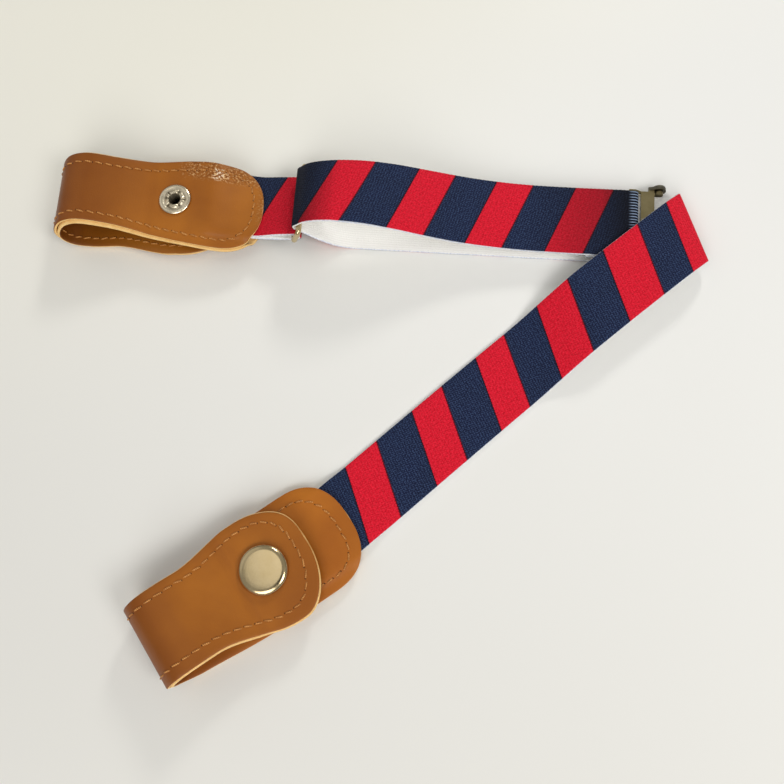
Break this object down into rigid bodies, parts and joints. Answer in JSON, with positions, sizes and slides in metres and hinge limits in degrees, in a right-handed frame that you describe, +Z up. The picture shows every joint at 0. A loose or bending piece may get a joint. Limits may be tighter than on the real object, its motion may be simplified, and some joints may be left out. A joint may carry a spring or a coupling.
{
  "type": "elastic belt",
  "caption": "Striped elastic belt with snap-closed leather end loops, a wire ring and a clamp adjuster, lying folded in a V on a flat surface.",
  "frame": {"origin": "middle of the folded belt's footprint, on the surface it lies on", "axes": "+Z up; +X to the right in the picture, from the leather tabs towards the fold; +Y away from the camera"},
  "size_m": [0.2278, 0.1811, 0.0222],
  "materials": {
    "webbing": "woven elastic, red and navy diagonal stripes, white back",
    "leather": "smooth tan, satin, cream raw edges",
    "nickel": "polished nickel",
    "plated_steel": "dull plated steel"
  },
  "bodies": {
    "belt": {"long_strap": "webbing", "short_strap": "webbing", "ring": "nickel", "tab_a_outer_leather": "leather", "tab_a_inner_leather": "leather", "tab_b_outer_leather": "leather", "tab_b_inner_leather": "leather", "tab_a_snap_cap": "nickel", "tab_a_snap_eyelet": "nickel", "tab_a_snap_socket": "nickel", "tab_a_snap_stud": "nickel", "tab_b_snap_cap": "nickel", "tab_b_snap_eyelet": "nickel", "tab_b_snap_socket": "nickel", "tab_b_snap_stud": "nickel", "adjuster_base": "plated_steel"},
    "lever": {"adjuster_lever": "plated_steel"}
  },
  "joints": [
    {"name": "lever_hinge", "type": "hinge", "parent": "belt", "child": "lever", "pos_m": [0.09857, 0.06089, 0.0027], "axis": [-0.0819, -0.9966, 0], "range_deg": [0, 90]}
  ]
}
